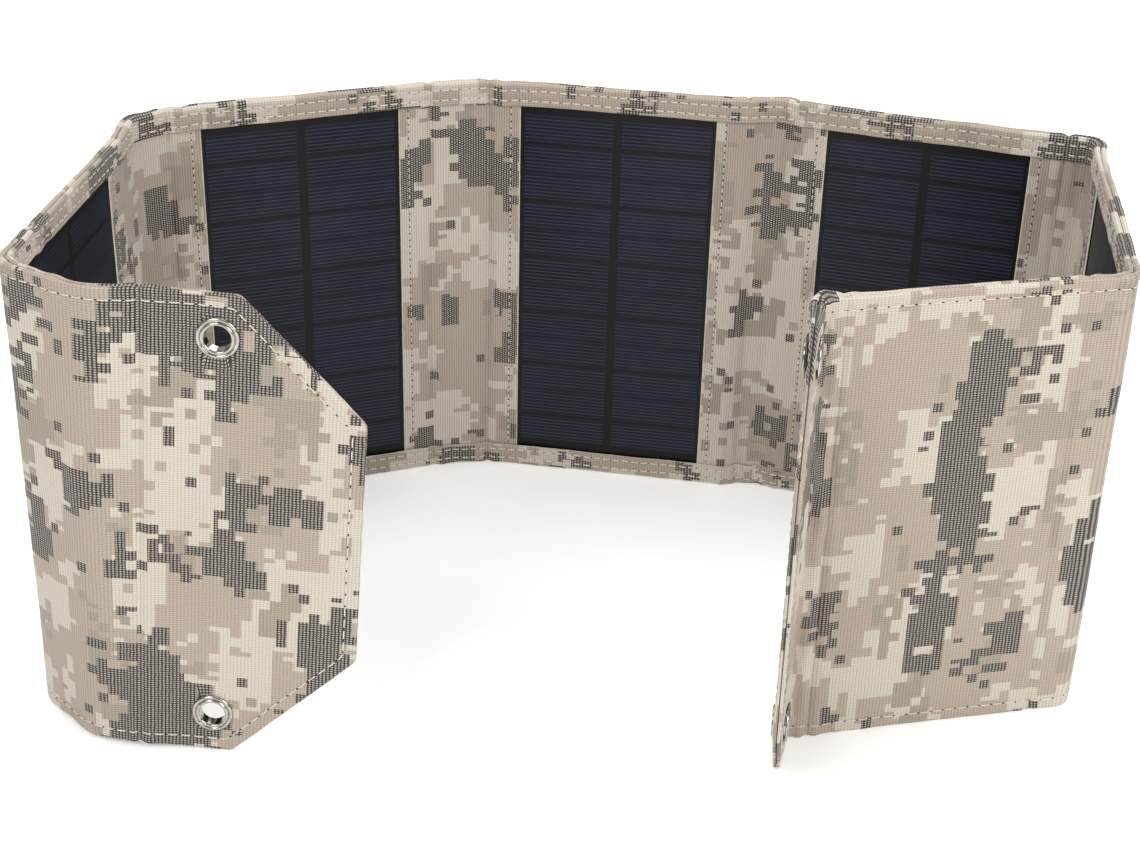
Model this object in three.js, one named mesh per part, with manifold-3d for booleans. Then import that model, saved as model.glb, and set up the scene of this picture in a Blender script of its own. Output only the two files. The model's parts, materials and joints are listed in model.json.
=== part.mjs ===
// Folding fabric solar charger, standing on its long edge and opened into a C.
// Millimetres, +Z up. Each panel is drawn flat in its own frame: x runs along the chain,
// y is 0 on the cell side and THICK on the outer side, z is up from the floor.
import * as THREE from "three";
import Module from "manifold-3d";
import { mergeVertices } from "three/addons/utils/BufferGeometryUtils.js";

const wasm = await Module();
wasm.setup();

// ---- driving dimensions ----
const TALL = 195; // height of every panel
const THICK = 4.8; // outer face to cell side
const CLOTH = 0.6; // outer fabric
const GAP = 0.3; // clearance between separate pieces
const HEM = 10.2; // fabric turned over the cell side at the top and bottom
const LIP = 0.5; // thickness of that turned fabric
const PLATE = 117; // stiff part of a cell panel, crease to crease
const CELL_WIDE = 88; // window over the cells
const TUCK = 5; // how far the laminate runs in under its window
const WINDOW = [0.8, 1.3]; // layers, as y from and to
const LAMINATE = [1.6, 2.4];
const BOARD = [2.7, 3.9];
const RIBBON = [2.9, 3.3];
const RIBBON_Z = [92.5, 101.5];
const POCKET_PLATE = 94.4; // stiff part of the pocket panel
const LEFT_FLAP = { long: 83, along: 47, up: 47, eyelet: [54.8, 17] };
const RIGHT_FLAP = { long: 62, along: 45, up: 47, eyelet: [53.5, 17] };
const EYELET_BORE = 5;
const EYELET_BARREL = 5.5;
const EYELET_RIM = 7.6;
const ROUND = 28; // segments of a full circle

// ---- plan of the standing charger: middle of each plate's cell side, and its heading ----
const PLAN_MIDDLE = [6.365, 760.636];
const PANELS = [
  { at: [-196.96, 761.5], heading: 81.4 },
  { at: [-120.7, 872.75], heading: 19.9 },
  { at: [17.7, 889.4], heading: -8.7 },
  { at: [151.7, 863.45], heading: -15.9 },
  { at: [210.5, 774.3], heading: -95.6 },
  { at: [143.0, 700.15], heading: -167.2 },
];
const RIGHT_FLAP_END = { at: [84.5, 680.3], heading: -98.3 };
// The left flap leans, so it has a full frame: its end corner on the floor and its axes.
const LEFT_FLAP_FRAME = {
  at: [-82.9, 667.4, -2.9],
  x: [-0.99698, 0.04658, 0.06203],
  z: [0.06406, 0.04338, 0.997],
};
// Corners that each fold's fabric passes through, as [x, y, radius].
const FOLD_CORNERS = [
  [[-178, 677, 26], [-203, 697.5, 9]],
  [[-187.8, 841, 3]],
  [],
  [[80, 883.2, 6], [91.5, 883.9, 6]],
  [[219.3, 845.6, 4]],
  [[204.6, 714.1, 2.4]],
  [[85.5, 687.1, 9.4]],
];

const fabric = { color: 0xb7ab99, roughness: 0.95, metalness: 0 };
const lining = { color: 0x9c9284, roughness: 0.95, metalness: 0 };
const cells = { color: 0x1d2233, roughness: 0.35, metalness: 0.1 };
const fibreboard = { color: 0x4a4038, roughness: 0.9, metalness: 0 };
const nickel = { color: 0xc9c8c4, roughness: 0.22, metalness: 1 };
const tinned = { color: 0xb9b4a8, roughness: 0.35, metalness: 0.9 };
const plastic = { color: 0x1b1b1c, roughness: 0.55, metalness: 0 };
const laminateGreen = { color: 0x1f4a2f, roughness: 0.5, metalness: 0 };

const charger = new THREE.Group();
const layout = new THREE.Group();
layout.position.set(-PLAN_MIDDLE[0], -PLAN_MIDDLE[1], 0);
charger.add(layout);

function add(parent, name, geometry, look) {
  const mesh = new THREE.Mesh(geometry, new THREE.MeshStandardMaterial(look));
  mesh.name = name;
  parent.add(mesh);
  return mesh;
}

// ---- solids ----
function facingOut(geometry) {
  const p = geometry.getAttribute("position");
  const index = geometry.index.array;
  const [a, b, c] = [new THREE.Vector3(), new THREE.Vector3(), new THREE.Vector3()];
  let volume = 0;
  for (let i = 0; i < index.length; i += 3) {
    a.fromBufferAttribute(p, index[i]);
    b.fromBufferAttribute(p, index[i + 1]);
    c.fromBufferAttribute(p, index[i + 2]);
    volume += a.dot(b.cross(c));
  }
  if (volume < 0) {
    for (let i = 0; i < index.length; i += 3) {
      [index[i], index[i + 1]] = [index[i + 1], index[i]];
    }
  }
  return geometry;
}

function welded(geometry) {
  const bare = geometry.clone();
  bare.deleteAttribute("normal");
  bare.deleteAttribute("uv");
  return facingOut(mergeVertices(bare, 1e-4));
}

function toManifold(geometry) {
  const g = welded(geometry);
  return new wasm.Manifold(
    new wasm.Mesh({
      numProp: 3,
      vertProperties: new Float32Array(g.getAttribute("position").array),
      triVerts: new Uint32Array(g.index.array),
    }),
  );
}

function fromManifold(solid) {
  const mesh = solid.getMesh();
  const geometry = new THREE.BufferGeometry();
  geometry.setAttribute("position", new THREE.BufferAttribute(mesh.vertProperties, 3));
  geometry.setIndex(new THREE.BufferAttribute(mesh.triVerts, 1));
  const flat = geometry.toNonIndexed();
  flat.computeVertexNormals();
  return flat;
}

function cut(body, ...tools) {
  return fromManifold(tools.reduce((left, tool) => left.subtract(toManifold(tool)), toManifold(body)));
}

// A closed solid between y0 and y1 from an outline in x and z, with holes right through.
function plate(outline, [y0, y1], holes = []) {
  const shape = new THREE.Shape(outline.map(([x, z]) => new THREE.Vector2(x, z)));
  for (const hole of holes) {
    shape.holes.push(new THREE.Path(hole.map(([x, z]) => new THREE.Vector2(x, z))));
  }
  const solid = new THREE.ExtrudeGeometry(shape, { depth: y1 - y0, bevelEnabled: false });
  return solid.rotateX(Math.PI / 2).translate(0, y1, 0);
}

function rectangle(x0, x1, z0, z1) {
  return [[x0, z0], [x1, z0], [x1, z1], [x0, z1]];
}

function circle(x, z, radius) {
  return Array.from({ length: ROUND }, (_, i) => {
    const turn = (i / ROUND) * 2 * Math.PI;
    return [x + radius * Math.cos(turn), z + radius * Math.sin(turn)];
  });
}

function box(x0, x1, y0, y1, z0, z1) {
  return plate(rectangle(x0, x1, z0, z1), [y0, y1]);
}

// A convex outline with each side moved in by its own distance.
function inset(outline, distances) {
  const count = outline.length;
  const sides = outline.map(([x0, z0], i) => {
    const [x1, z1] = outline[(i + 1) % count];
    const long = Math.hypot(x1 - x0, z1 - z0);
    const [nx, nz] = [-(z1 - z0) / long, (x1 - x0) / long];
    return { x: x0 + nx * distances[i], z: z0 + nz * distances[i], dx: x1 - x0, dz: z1 - z0 };
  });
  return sides.map((b, i) => {
    const a = sides[(i + count - 1) % count];
    const t = ((b.x - a.x) * b.dz - (b.z - a.z) * b.dx) / (a.dx * b.dz - a.dz * b.dx);
    return [a.x + a.dx * t, a.z + a.dz * t];
  });
}

// ---- sweeping a section along the plan ----
// A station is where the section's cell side stands at half height: its point, the outward
// direction in plan, the direction that the section's height runs, and how far it is lifted.
const UPRIGHT = [0, 0, 1];

function direction(degrees) {
  const turn = THREE.MathUtils.degToRad(degrees);
  return [Math.cos(turn), Math.sin(turn)];
}

function standing(point, heading, along = 0) {
  const [dx, dy] = direction(heading);
  return { p: [point[0] + dx * along, point[1] + dy * along], out: [-dy, dx], up: UPRIGHT, lift: 0 };
}

function sweep(outline, hole, stations) {
  const rings = hole ? [outline, hole] : [outline];
  const loop = rings.flat();
  const points = stations.flatMap(({ p, out, up, lift }) =>
    loop.map(([y, z]) => [
      p[0] + out[0] * y + up[0] * (z - TALL / 2),
      p[1] + out[1] * y + up[1] * (z - TALL / 2),
      TALL / 2 + lift + up[2] * (z - TALL / 2),
    ]),
  );
  const index = [];
  for (let s = 0; s + 1 < stations.length; s++) {
    let start = 0;
    for (const ring of rings) {
      ring.forEach((_, i) => {
        const a = s * loop.length + start + i;
        const b = s * loop.length + start + ((i + 1) % ring.length);
        index.push(a, b, b + loop.length, a, b + loop.length, a + loop.length);
      });
      start += ring.length;
    }
  }
  const flat = rings.map((ring) => ring.map(([y, z]) => new THREE.Vector2(y, z)));
  const last = (stations.length - 1) * loop.length;
  for (const [a, b, c] of THREE.ShapeUtils.triangulateShape(flat[0], flat.slice(1))) {
    index.push(a, c, b);
    index.push(last + a, last + b, last + c);
  }
  const geometry = new THREE.BufferGeometry();
  geometry.setAttribute("position", new THREE.Float32BufferAttribute(points.flat(), 3));
  geometry.setIndex(index);
  const solid = facingOut(geometry).toNonIndexed();
  solid.computeVertexNormals();
  return solid;
}

// The stations of a path that turns at rounded corners, between two given end stations.
function foldStations(from, corners, to) {
  const points = [from.p, ...corners, to.p];
  const path = [];
  for (let i = 1; i + 1 < points.length; i++) {
    const [before, here, after] = [points[i - 1], points[i], points[i + 1]];
    const a = new THREE.Vector2(here[0] - before[0], here[1] - before[1]).normalize();
    const b = new THREE.Vector2(after[0] - here[0], after[1] - here[1]).normalize();
    const turn = Math.atan2(a.cross(b), a.dot(b));
    const radius = here[2];
    const run = radius * Math.tan(Math.abs(turn) / 2);
    const side = Math.sign(turn);
    const centre = [here[0] - a.x * run - a.y * radius * side, here[1] - a.y * run + a.x * radius * side];
    const steps = Math.max(2, Math.ceil(Math.abs(turn) / 0.22));
    for (let k = 0; k <= steps; k++) {
      const angle = (turn * k) / steps;
      const [c, s] = [Math.cos(angle), Math.sin(angle)];
      const tangent = [a.x * c - a.y * s, a.x * s + a.y * c];
      const p = [centre[0] + tangent[1] * radius * side, centre[1] - tangent[0] * radius * side];
      path.push({ p, out: [-tangent[1], tangent[0]] });
    }
  }
  const inner = path.map(({ p, out }, i) => {
    const done = (i + 1) / (path.length + 1);
    const up = UPRIGHT.map((u, k) => THREE.MathUtils.lerp(from.up[k], to.up[k], done));
    return { p, out, up, lift: THREE.MathUtils.lerp(from.lift, to.lift, done) };
  });
  return [from, ...inner, to];
}

// ---- sections, as y and z ----
const coverSection = [
  [0, 0], [THICK, 0], [THICK, TALL], [0, TALL],
  [0, TALL - HEM], [LIP, TALL - HEM], [LIP, TALL - CLOTH], [THICK - CLOTH, TALL - CLOTH],
  [THICK - CLOTH, CLOTH], [LIP, CLOTH], [LIP, HEM], [0, HEM],
];
const foldSection = [
  [0, 0], [THICK, 0], [THICK, TALL], [0, TALL],
  [0, TALL - HEM], [WINDOW[0], TALL - HEM], [WINDOW[0], HEM], [0, HEM],
];
const foldHollow = [
  [WINDOW[1], CLOTH], [WINDOW[1], TALL - CLOTH], [THICK - CLOTH, TALL - CLOTH], [THICK - CLOTH, CLOTH],
];
const ribbonSection = [
  [RIBBON[0], RIBBON_Z[0]], [RIBBON[1], RIBBON_Z[0]], [RIBBON[1], RIBBON_Z[1]], [RIBBON[0], RIBBON_Z[1]],
];

// ---- panels ----
function panelFrame({ at, heading }) {
  const frame = new THREE.Group();
  frame.position.set(at[0], at[1], 0);
  frame.rotation.z = THREE.MathUtils.degToRad(heading);
  layout.add(frame);
  return frame;
}

// An outline that is a rectangle with a bay cut into its left or right side for the ribbon.
function boardOutline(half, bays) {
  const [z0, z1] = [2, TALL - 2];
  const [b0, b1] = [RIBBON_Z[0] - 2.5, RIBBON_Z[1] + 2.5];
  const right = bays.right ? [[half, b0], [half - bays.right, b0], [half - bays.right, b1], [half, b1]] : [];
  const left = bays.left ? [[-half, b1], [-half + bays.left, b1], [-half + bays.left, b0], [-half, b0]] : [];
  return [[-half, z0], [half, z0], ...right, [half, z1], [-half, z1], ...left];
}

function plateCover(half) {
  const at = (x) => ({ p: [x, 0], out: [0, 1], up: UPRIGHT, lift: 0 });
  return sweep(coverSection, null, [at(-half + GAP / 2), at(half - GAP / 2)]);
}

function cellPanel(number) {
  const frame = panelFrame(PANELS[number - 1]);
  const half = PLATE / 2;
  const under = CLOTH + GAP;
  const window = rectangle(-CELL_WIDE / 2, CELL_WIDE / 2, HEM - 2.2, TALL - HEM + 2.2);
  const skin = rectangle(-half + GAP, half - GAP, under, TALL - under);
  const reach = CELL_WIDE / 2 + TUCK;
  const bays = { right: 12, left: number > 1 ? 12 : 0 };
  add(frame, `panel_${number}_cover_fabric`, plateCover(half), fabric);
  add(frame, `panel_${number}_window_fabric`, plate(skin, WINDOW, [window]), lining);
  add(frame, `panel_${number}_solar_laminate`, plate(rectangle(-reach, reach, 5.5, TALL - 5.5), LAMINATE), cells);
  add(frame, `panel_${number}_stiffener_board`, plate(boardOutline(half - 2.5, bays), BOARD), fibreboard);
}

for (let number = 1; number <= 5; number++) {
  cellPanel(number);
}

// ---- pocket panel, with the regulator in a pouch on its cell side ----
const pocket = panelFrame(PANELS[5]);
{
  const half = POCKET_PLATE / 2;
  const under = CLOTH + GAP;
  const slit = rectangle(-32.7, -31.3, 91.5, 102.5);
  const skin = rectangle(-half + GAP, half - GAP, under, TALL - under);
  add(pocket, "panel_6_cover_fabric", plateCover(half), fabric);
  add(pocket, "panel_6_lining_fabric", plate(skin, WINDOW, [slit]), lining);
  add(pocket, "panel_6_stiffener_board", plate(boardOutline(half - 2.5, { left: 18 }), BOARD), fibreboard);

  const pouch = cut(box(-42, 42, -15, 0.5, 14, 158), box(-41.4, 41.4, -14.4, 1, 14.6, 160));
  add(pocket, "pocket_pouch_fabric", pouch, fabric);

  const housing = cut(
    box(-38, -6, -11.7, -0.4, 78, 140),
    box(-36.5, -7.5, -12, -1.9, 79.5, 138.5),
    box(-32.7, -31.3, -3, 1, 91.5, 102.5),
    box(-29.1, -14.9, -12, -4.5, 137, 141),
  );
  add(pocket, "regulator_housing", housing, plastic);
  add(pocket, "regulator_lid", box(-38, -6, -13.2, -12, 78, 140), plastic);
  add(pocket, "regulator_circuit_board", box(-36, -8, -4.6, -3.2, 80, 138), laminateGreen);
  const socket = cut(box(-28.7, -15.3, -11.2, -4.9, 128, 140.6), box(-28.3, -15.7, -10.85, -5.25, 128.6, 142));
  add(pocket, "regulator_output_socket", socket, tinned);
  add(pocket, "regulator_feed_ribbon", box(-32.2, -31.8, -2.9, 2.6, 93, 101), tinned);
}

// ---- flaps, drawn from their free end at x = 0 ----
function eyeletProfile() {
  const face = THICK + GAP;
  return [
    [EYELET_BORE, -1.2], [EYELET_BORE, face + 0.7], [EYELET_BORE + 0.5, face + 1.25],
    [EYELET_RIM - 1.3, face + 1.4], [EYELET_RIM - 0.3, face + 0.9], [EYELET_RIM, face],
    [EYELET_BARREL, face], [EYELET_BARREL, -1.3], [EYELET_RIM - 0.9, -1.3],
    [EYELET_RIM - 1.1, -1.75], [EYELET_BARREL, -1.9],
  ];
}

function turned(profile) {
  const closed = [...profile, profile[0]].map(([r, y]) => new THREE.Vector2(r, y));
  return welded(new THREE.LatheGeometry(closed, ROUND)).toNonIndexed();
}

function flap(frame, side, { long, along, up, eyelet }, levels) {
  const outline = [
    [along, 0], [long - GAP / 2, 0], [long - GAP / 2, TALL], [along, TALL], [0, TALL - up], [0, up],
  ];
  const openSide = (distance) => outline.map((_, i) => (i === 1 ? -5 : distance));
  const closedSide = (distance) => outline.map((_, i) => (i === 1 ? GAP : distance));
  const places = { [levels[0]]: [eyelet[0], TALL - eyelet[1]], [levels[1]]: eyelet };
  const bores = (radius) => Object.values(places).map(([x, z]) => circle(x, z, radius));
  const cover = cut(
    plate(outline, [0, THICK], bores(EYELET_BARREL + GAP)),
    plate(inset(outline, openSide(CLOTH)), [LIP, THICK - CLOTH]),
    plate(inset(outline, openSide(HEM)), [-1, LIP + 0.1]),
  );
  add(frame, `flap_${side}_cover_fabric`, cover, fabric);
  const skin = plate(inset(outline, closedSide(CLOTH + GAP)), WINDOW, bores(EYELET_BARREL + GAP));
  add(frame, `flap_${side}_lining_fabric`, skin, lining);
  const core = plate(inset(outline, closedSide(3)), [1.6, 3.9], bores(EYELET_BARREL + 2 * GAP));
  add(frame, `flap_${side}_stiffener_sheet`, core, fibreboard);
  const ring = [[5.8, -1], [EYELET_RIM + 0.2, -1], [EYELET_RIM + 0.2, -GAP], [5.8, -GAP]];
  for (const [level, [x, z]] of Object.entries(places)) {
    add(frame, `eyelet_${side}_${level}`, turned(eyeletProfile()), nickel).position.set(x, 0, z);
    add(frame, `eyelet_washer_${side}_${level}`, turned(ring), nickel).position.set(x, 0, z);
  }
}

const leftX = new THREE.Vector3(...LEFT_FLAP_FRAME.x).normalize();
const leftY = new THREE.Vector3(...LEFT_FLAP_FRAME.z).cross(leftX).normalize();
const leftZ = leftX.clone().cross(leftY);
const leftFrame = new THREE.Group();
leftFrame.quaternion.setFromRotationMatrix(new THREE.Matrix4().makeBasis(leftX, leftY, leftZ));
leftFrame.position.set(...LEFT_FLAP_FRAME.at);
layout.add(leftFrame);
flap(leftFrame, "left", LEFT_FLAP, ["upper", "lower"]);

// The right flap runs on from its fold, so the same drawing is turned end for end.
const rightFrame = new THREE.Group();
{
  const end = standing(RIGHT_FLAP_END.at, RIGHT_FLAP_END.heading, RIGHT_FLAP.long).p;
  rightFrame.position.set(end[0], end[1], TALL);
  rightFrame.rotation.set(0, Math.PI, THREE.MathUtils.degToRad(RIGHT_FLAP_END.heading), "ZYX");
  layout.add(rightFrame);
}
flap(rightFrame, "right", RIGHT_FLAP, ["lower", "upper"]);

// ---- folds between the panels, and the ribbons that pass through them ----
function leftFlapEdge() {
  const edge = new THREE.Vector3(...LEFT_FLAP_FRAME.at);
  edge.addScaledVector(leftX, LEFT_FLAP.long + GAP / 2).addScaledVector(leftZ, TALL / 2);
  return { p: [edge.x, edge.y], out: [leftY.x, leftY.y], up: leftZ.toArray(), lift: edge.z - TALL / 2 };
}

const halves = PANELS.map((_, i) => (i < 5 ? PLATE : POCKET_PLATE) / 2);
const leftEdges = PANELS.map(({ at, heading }, i) => standing(at, heading, -halves[i] - GAP / 2));
const rightEdges = PANELS.map(({ at, heading }, i) => standing(at, heading, halves[i] + GAP / 2));
const flapEdge = standing(RIGHT_FLAP_END.at, RIGHT_FLAP_END.heading, -GAP / 2);
const folds = [
  ["fold_strip_flap_1", leftFlapEdge(), leftEdges[0]],
  ...[1, 2, 3, 4, 5].map((n) => [`fold_strip_${n}_${n + 1}`, rightEdges[n - 1], leftEdges[n]]),
  ["fold_strip_6_flap", rightEdges[5], flapEdge],
].map(([name, from, to], i) => [name, foldStations(from, FOLD_CORNERS[i], to)]);

for (const [name, stations] of folds) {
  add(layout, name, sweep(foldSection, foldHollow, stations), fabric);
}

const RIBBON_START = 46; // behind the laminate, from the middle of its panel
const POCKET_RIBBON_END = -30;
for (let n = 1; n <= 5; n++) {
  const [here, next] = [PANELS[n - 1], PANELS[n]];
  const start = standing(here.at, here.heading, RIBBON_START);
  const end = standing(next.at, next.heading, n < 5 ? -RIBBON_START : POCKET_RIBBON_END);
  add(layout, `lead_ribbon_${n}_${n + 1}`, sweep(ribbonSection, null, [start, ...folds[n][1], end]), tinned);
}

export default charger;
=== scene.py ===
import json
import math

import bmesh
import bpy
import numpy as np
from mathutils import Matrix, Vector

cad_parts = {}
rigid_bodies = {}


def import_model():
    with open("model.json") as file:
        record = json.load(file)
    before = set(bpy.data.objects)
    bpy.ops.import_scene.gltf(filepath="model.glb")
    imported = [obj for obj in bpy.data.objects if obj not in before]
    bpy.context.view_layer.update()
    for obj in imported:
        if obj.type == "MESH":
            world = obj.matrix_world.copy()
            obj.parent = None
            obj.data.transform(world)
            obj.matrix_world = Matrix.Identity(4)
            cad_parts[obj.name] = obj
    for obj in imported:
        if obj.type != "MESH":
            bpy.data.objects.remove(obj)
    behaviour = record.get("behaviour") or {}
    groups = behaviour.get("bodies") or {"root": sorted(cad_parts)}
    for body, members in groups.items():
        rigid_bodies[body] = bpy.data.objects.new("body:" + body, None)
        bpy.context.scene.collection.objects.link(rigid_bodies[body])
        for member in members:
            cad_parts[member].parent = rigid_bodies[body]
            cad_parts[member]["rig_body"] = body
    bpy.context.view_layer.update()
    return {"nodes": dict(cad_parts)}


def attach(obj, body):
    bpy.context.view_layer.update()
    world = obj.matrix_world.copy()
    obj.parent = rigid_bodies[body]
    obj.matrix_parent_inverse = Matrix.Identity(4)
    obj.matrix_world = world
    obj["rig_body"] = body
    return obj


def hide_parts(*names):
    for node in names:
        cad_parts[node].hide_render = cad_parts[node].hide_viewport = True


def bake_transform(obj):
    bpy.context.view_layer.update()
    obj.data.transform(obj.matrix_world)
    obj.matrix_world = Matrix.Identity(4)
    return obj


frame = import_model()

# Folding fabric solar charger, standing on its long edge and opened into a C.
# The cloth is laid out in millimetres along the chain of panels. A place on it is u, the
# distance along its own run, y, from the cell side (0) to the outer face (THICK), and z.

# ---- sizes shared with the CAD, in millimetres ----
MM = 0.001
TALL = 195.0
MID = TALL / 2
THICK = 4.8
CLOTH = 0.6  # the covers' cloth
LINING = 0.45  # the inner cloth
HEM = 10.2
PLATE = 117.0
POCKET_PLATE = 94.4
CELL_WIDE = 88.0
WINDOW_FOOT = 8.0  # from the edge to the window, under the hem
INNER_FACE = 0.8  # the inner fabric's cell side
RIBBON = (2.9, 3.3, 92.5, 101.5)
PLAN_MIDDLE = np.array([6.365, 760.636, 0.0])
PANELS = [
    ((-196.96, 761.5), 81.4),
    ((-120.7, 872.75), 19.9),
    ((17.7, 889.4), -8.7),
    ((151.7, 863.45), -15.9),
    ((210.5, 774.3), -95.6),
    ((143.0, 700.15), -167.2),
]
RIGHT_FLAP_AT = ((84.5, 680.3), -98.3)
LEFT_FLAP_AT = (-82.9, 667.4, -2.9)
LEFT_FLAP_X = (-0.99698, 0.04658, 0.06203)
LEFT_FLAP_Z = (0.06406, 0.04338, 0.997)
LEFT_FLAP = {"long": 83.0, "along": 47.0, "up": 47.0, "eyelet": (54.8, 17.0)}
RIGHT_FLAP = {"long": 62.0, "along": 45.0, "up": 47.0, "eyelet": (53.5, 17.0)}
FOLD_NAMES = ("flap_1", "1_2", "2_3", "3_4", "4_5", "5_6", "6_flap")
FOLD_CORNERS = [  # where each fold turns in plan: x, y, radius
    [(-178, 677, 26), (-203, 697.5, 9)],
    [(-187.8, 841, 3)],
    [],
    [(80, 883.2, 6), (91.5, 883.9, 6)],
    [(219.3, 845.6, 4)],
    [(204.6, 714.1, 2.4)],
    [(85.5, 687.1, 9.4)],
]

# ---- how the cloth is sewn ----
RIM = 1.3  # depth of the folded edge
OUTER_ROW = 5.0  # stitch row inside every outer edge
HEM_ROWS = (3.1, 7.7)  # stitch rows along the hem, from the edge
WINDOW_ROW = 4.3  # stitch row outside the cell window
OUTER_PITCH = 5.2
HEM_PITCH = 4.6
WINDOW_PITCH = 3.3
FAR_IN = 25.0  # a distance from the edge where its unevenness has died out
EYELET_CUT = 6.1  # radius of the cut round an eyelet's barrel
FACE_INSET = 11.0  # where a flap's face grid begins inside its outline
FLAP_THIN = 0.55  # how much of THICK is left where a flap has only its plastic sheet inside


# ---- runs: the stretches of cloth along the chain ----
def direction(degrees):
    turn = math.radians(degrees)
    return np.array([math.cos(turn), math.sin(turn), 0.0])


def unit(vector):
    vector = np.asarray(vector, float)
    return vector / np.maximum(np.linalg.norm(vector, axis=-1, keepdims=True), 1e-9)


def walk_of(path):
    """The distance walked at each point of a path."""
    return np.concatenate([[0], np.cumsum(np.linalg.norm(np.diff(path, axis=0), axis=1))])


def between(place, walk, values):
    """The values, given by row, at a place along a walk."""
    return np.stack([np.interp(place, walk, column) for column in values.T], -1)


def ease(values):
    """Rounds off a row of values a little, and keeps both ends."""
    values[1:-1] = (values[:-2] + 2 * values[1:-1] + values[2:]) / 4


class Run:
    """A stretch of the chain: stations at half height, with the outward and upward directions."""

    def __init__(self, name, middles, outs, ups, bodies):
        self.name, self.bodies = name, bodies
        self.middles = np.asarray(middles, float)
        self.outs, self.ups = np.asarray(outs, float), np.asarray(ups, float)
        self.stations = walk_of(self.middles)
        self.long = self.stations[-1]
        self.start = 0.0

    def place(self, u, y, z):
        """Points in millimetres, in the row frame."""
        u, y, z = np.broadcast_arrays(*(np.asarray(a, float) for a in (u, y, z)))
        middle, out, up = (between(u, self.stations, v) for v in (self.middles, self.outs, self.ups))
        return middle + out * y[..., None] + up * (z - MID)[..., None] - PLAN_MIDDLE

    def facing(self, u, out_share, up_share):
        """The direction of a mix of outward and upward."""
        u, a, b = np.broadcast_arrays(*(np.asarray(x, float) for x in (u, out_share, up_share)))
        out, up = (between(u, self.stations, v) for v in (self.outs, self.ups))
        return unit(out * a[..., None] + up * b[..., None])


def flat_run(name, begin, along, out, up, long, body):
    begin = np.asarray(begin, float)
    return Run(name, [begin, begin + np.asarray(along) * long], [out, out], [up, up], [body])


def panel_run(number):
    (x, y), heading = PANELS[number - 1]
    long = PLATE if number < 6 else POCKET_PLATE
    along = direction(heading)
    begin = np.array([x, y, MID]) - along * long / 2
    name = f"panel_{number}"
    return flat_run(name, begin, along, direction(heading + 90), (0, 0, 1), long, name)


def left_flap_run():
    along = unit(LEFT_FLAP_X)
    out = unit(np.cross(LEFT_FLAP_Z, along))
    up = np.cross(along, out)
    begin = np.array(LEFT_FLAP_AT) + up * MID
    return flat_run("flap_left", begin, along, out, up, LEFT_FLAP["long"], "flap_left")


def right_flap_run():
    (x, y), heading = RIGHT_FLAP_AT
    out = direction(heading + 90)
    along, up, long = direction(heading), (0, 0, 1), RIGHT_FLAP["long"]
    return flat_run("flap_right", (x, y, MID), along, out, up, long, "flap_right")


def rounded_path(points, radii):
    """A plan path that turns at rounded corners."""
    path = [points[0]]
    for before, here, after, radius in zip(points, points[1:], points[2:], radii):
        a, b = unit(here - before), unit(after - here)
        turn = math.atan2(a[0] * b[1] - a[1] * b[0], a @ b)
        side, run = math.copysign(1, turn), radius * math.tan(abs(turn) / 2)
        centre = here - a * run + np.array([-a[1], a[0]]) * radius * side
        for k in range(13):
            angle = turn * k / 12
            c, s = math.cos(angle), math.sin(angle)
            tangent = np.array([a[0] * c - a[1] * s, a[0] * s + a[1] * c])
            path.append(centre + np.array([tangent[1], -tangent[0]]) * radius * side)
    return np.array(path + [points[-1]])


def fold_run(number, before, after):
    """The soft cloth between two stiff panels, creased where each plate ends."""
    corners = FOLD_CORNERS[number]
    ends = before.middles[-1], after.middles[0]
    points = [ends[0][:2], *[np.array(c[:2], float) for c in corners], ends[1][:2]]
    path = rounded_path(points, [c[2] for c in corners])
    walk = walk_of(path)
    count = int(walk[-1] / 0.75) + 2
    u = np.linspace(0, walk[-1], count)
    plan = between(u, walk, path)
    for _ in range(6):
        ease(plan)
    ahead = unit(np.gradient(plan, axis=0))
    outs = np.stack([-ahead[:, 1], ahead[:, 0], np.zeros(count)], -1)
    share = (u / u[-1])[:, None]
    outs[:, 2] = before.outs[-1][2] * (1 - share[:, 0]) + after.outs[0][2] * share[:, 0]
    for _ in range(4):
        outs[0], outs[-1] = before.outs[-1], after.outs[0]
        ease(outs)
    ups = before.ups[-1] * (1 - share) + after.ups[0] * share
    heights = ends[0][2] * (1 - share) + ends[1][2] * share
    middles = np.concatenate([plan, heights], 1)
    return Run(f"fold_{FOLD_NAMES[number]}", middles, unit(outs), ups, [before.bodies[0], after.bodies[0]])


STIFF = [left_flap_run(), *[panel_run(n) for n in range(1, 7)], right_flap_run()]
FOLDS = [fold_run(i, STIFF[i], STIFF[i + 1]) for i in range(7)]
CHAIN = [run for pair in zip(STIFF, FOLDS) for run in pair] + [STIFF[-1]]
walked_so_far = 0.0
for run in CHAIN:
    run.start = walked_so_far
    walked_so_far += run.long
SOFT_SPANS = [(fold.start, fold.start + fold.long) for fold in FOLDS]
CREASES = [edge for span in SOFT_SPANS for edge in span]


# ---- the cloth's own unevenness ----
chance = np.random.default_rng(41)
LATTICE = chance.uniform(-1, 1, (12, 97, 89))


def drift(a, b, size_a, size_b, layer):
    """A smooth random height from -1 to 1, with swells about the given sizes apart."""
    x, y = np.broadcast_arrays(np.asarray(a, float) / size_a, np.asarray(b, float) / size_b)
    i, j = np.floor(x).astype(int), np.floor(y).astype(int)
    fx, fy = x - i, y - j
    fx, fy = fx * fx * (3 - 2 * fx), fy * fy * (3 - 2 * fy)
    grid = LATTICE[layer]

    def corner(di, dj):
        return grid[(i + di) % grid.shape[0], (j + dj) % grid.shape[1]]

    low = corner(0, 0) * (1 - fx) + corner(1, 0) * fx
    high = corner(0, 1) * (1 - fx) + corner(1, 1) * fx
    return low * (1 - fy) + high * fy


def bell(x, width):
    return np.exp(-((np.asarray(x, float) / width) ** 2))


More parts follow.
